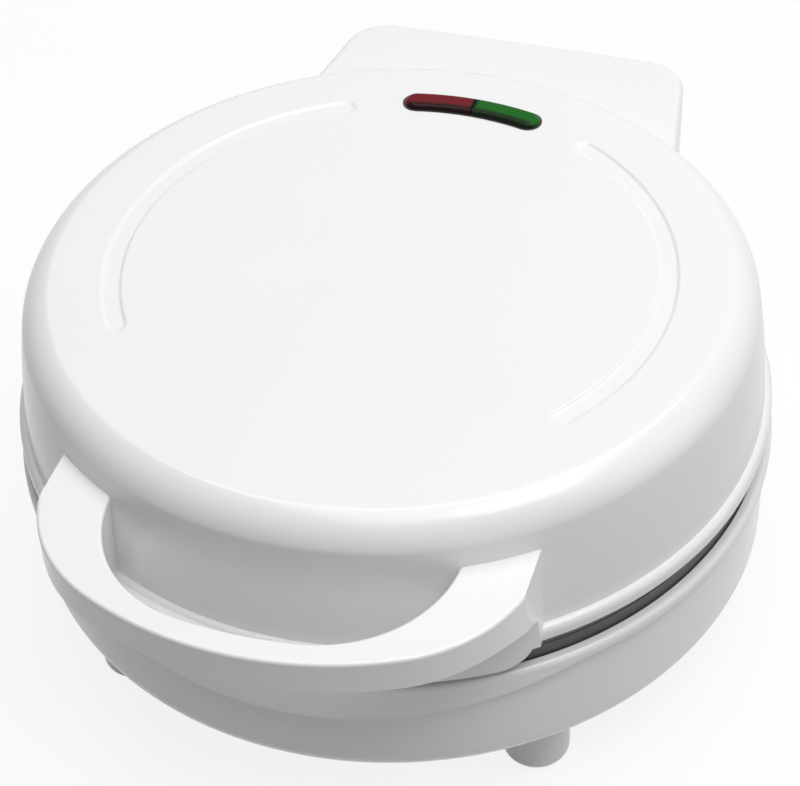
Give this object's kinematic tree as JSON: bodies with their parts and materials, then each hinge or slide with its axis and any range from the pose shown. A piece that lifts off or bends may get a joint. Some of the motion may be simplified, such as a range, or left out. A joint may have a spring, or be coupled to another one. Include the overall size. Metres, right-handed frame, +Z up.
{
  "type": "mini donut maker",
  "caption": "Round countertop donut maker with a hinged lid, ring mould plates, a front grip and a two-colour indicator on the lid.",
  "frame": {"origin": "on the table, under the middle of the whole object's box", "axes": "+Z up, -Y towards the handle, +Y towards the hinge, +X to the right seen from the handle"},
  "size_m": [0.208, 0.2654, 0.1058],
  "materials": {
    "white_plastic": "glossy white moulded plastic",
    "handle_plastic": "glossy white moulded plastic",
    "nonstick_aluminium": "dark non-stick coating on cast aluminium",
    "heater_sheath": "heat-tinted steel tube",
    "reflector_sheet": "bright pressed sheet",
    "zinc_steel": "zinc plated",
    "pin_steel": "ground bright",
    "bush_nylon": "natural nylon",
    "pad_rubber": "soft grey rubber",
    "foot_plastic": "glossy white moulded plastic",
    "gland_rubber": "soft pale rubber",
    "terminal_nylon": "natural nylon",
    "terminal_brass": "bright brass",
    "thermostat_body": "dark phenolic with a metal cap",
    "fuse_case": "tinned metal case",
    "lead_sleeve": "white silicone sleeve",
    "bezel_plastic": "dark frame",
    "red_lens": "dark red clear plastic",
    "green_lens": "dark green clear plastic",
    "lamp_glass": "clear glass lamp",
    "holder_plastic": "white heat-resistant plastic"
  },
  "bodies": {
    "base": {"base_shell": "white_plastic", "foot_screws": "zinc_steel", "lower_plate": "nonstick_aluminium", "lower_plate_screws": "zinc_steel", "lower_element": "heater_sheath", "lower_reflector": "reflector_sheet", "thermostat": "thermostat_body", "thermostat_screws": "zinc_steel", "thermal_fuse": "fuse_case", "fuse_clip": "zinc_steel", "terminal_block": "terminal_nylon", "terminal_screws": "terminal_brass", "cord_gland": "gland_rubber", "base_leads": "lead_sleeve", "hinge_pin": "pin_steel", "pin_clips": "zinc_steel", "foot_front_left": "foot_plastic", "foot_pad_front_left": "pad_rubber", "foot_front_right": "foot_plastic", "foot_pad_front_right": "pad_rubber", "foot_rear_left": "foot_plastic", "foot_pad_rear_left": "pad_rubber", "foot_rear_right": "foot_plastic", "foot_pad_rear_right": "pad_rubber"},
    "lid": {"lid_shell": "white_plastic", "lid_handle": "handle_plastic", "handle_screws": "zinc_steel", "hinge_hood": "white_plastic", "hood_screws": "zinc_steel", "hinge_bushes": "bush_nylon", "upper_plate": "nonstick_aluminium", "upper_plate_screws": "zinc_steel", "upper_element": "heater_sheath", "upper_reflector": "reflector_sheet", "indicator_bezel": "bezel_plastic", "lens_red": "red_lens", "lens_green": "green_lens", "lamp_holder": "holder_plastic", "lamp_red": "lamp_glass", "lamp_green": "lamp_glass", "lid_leads": "lead_sleeve"}
  },
  "joints": [
    {"name": "lid_hinge", "type": "hinge", "parent": "base", "child": "lid", "pos_m": [0, 0.1147, 0.062], "axis": [-1, 0, 0], "range_deg": [0, 95]}
  ]
}
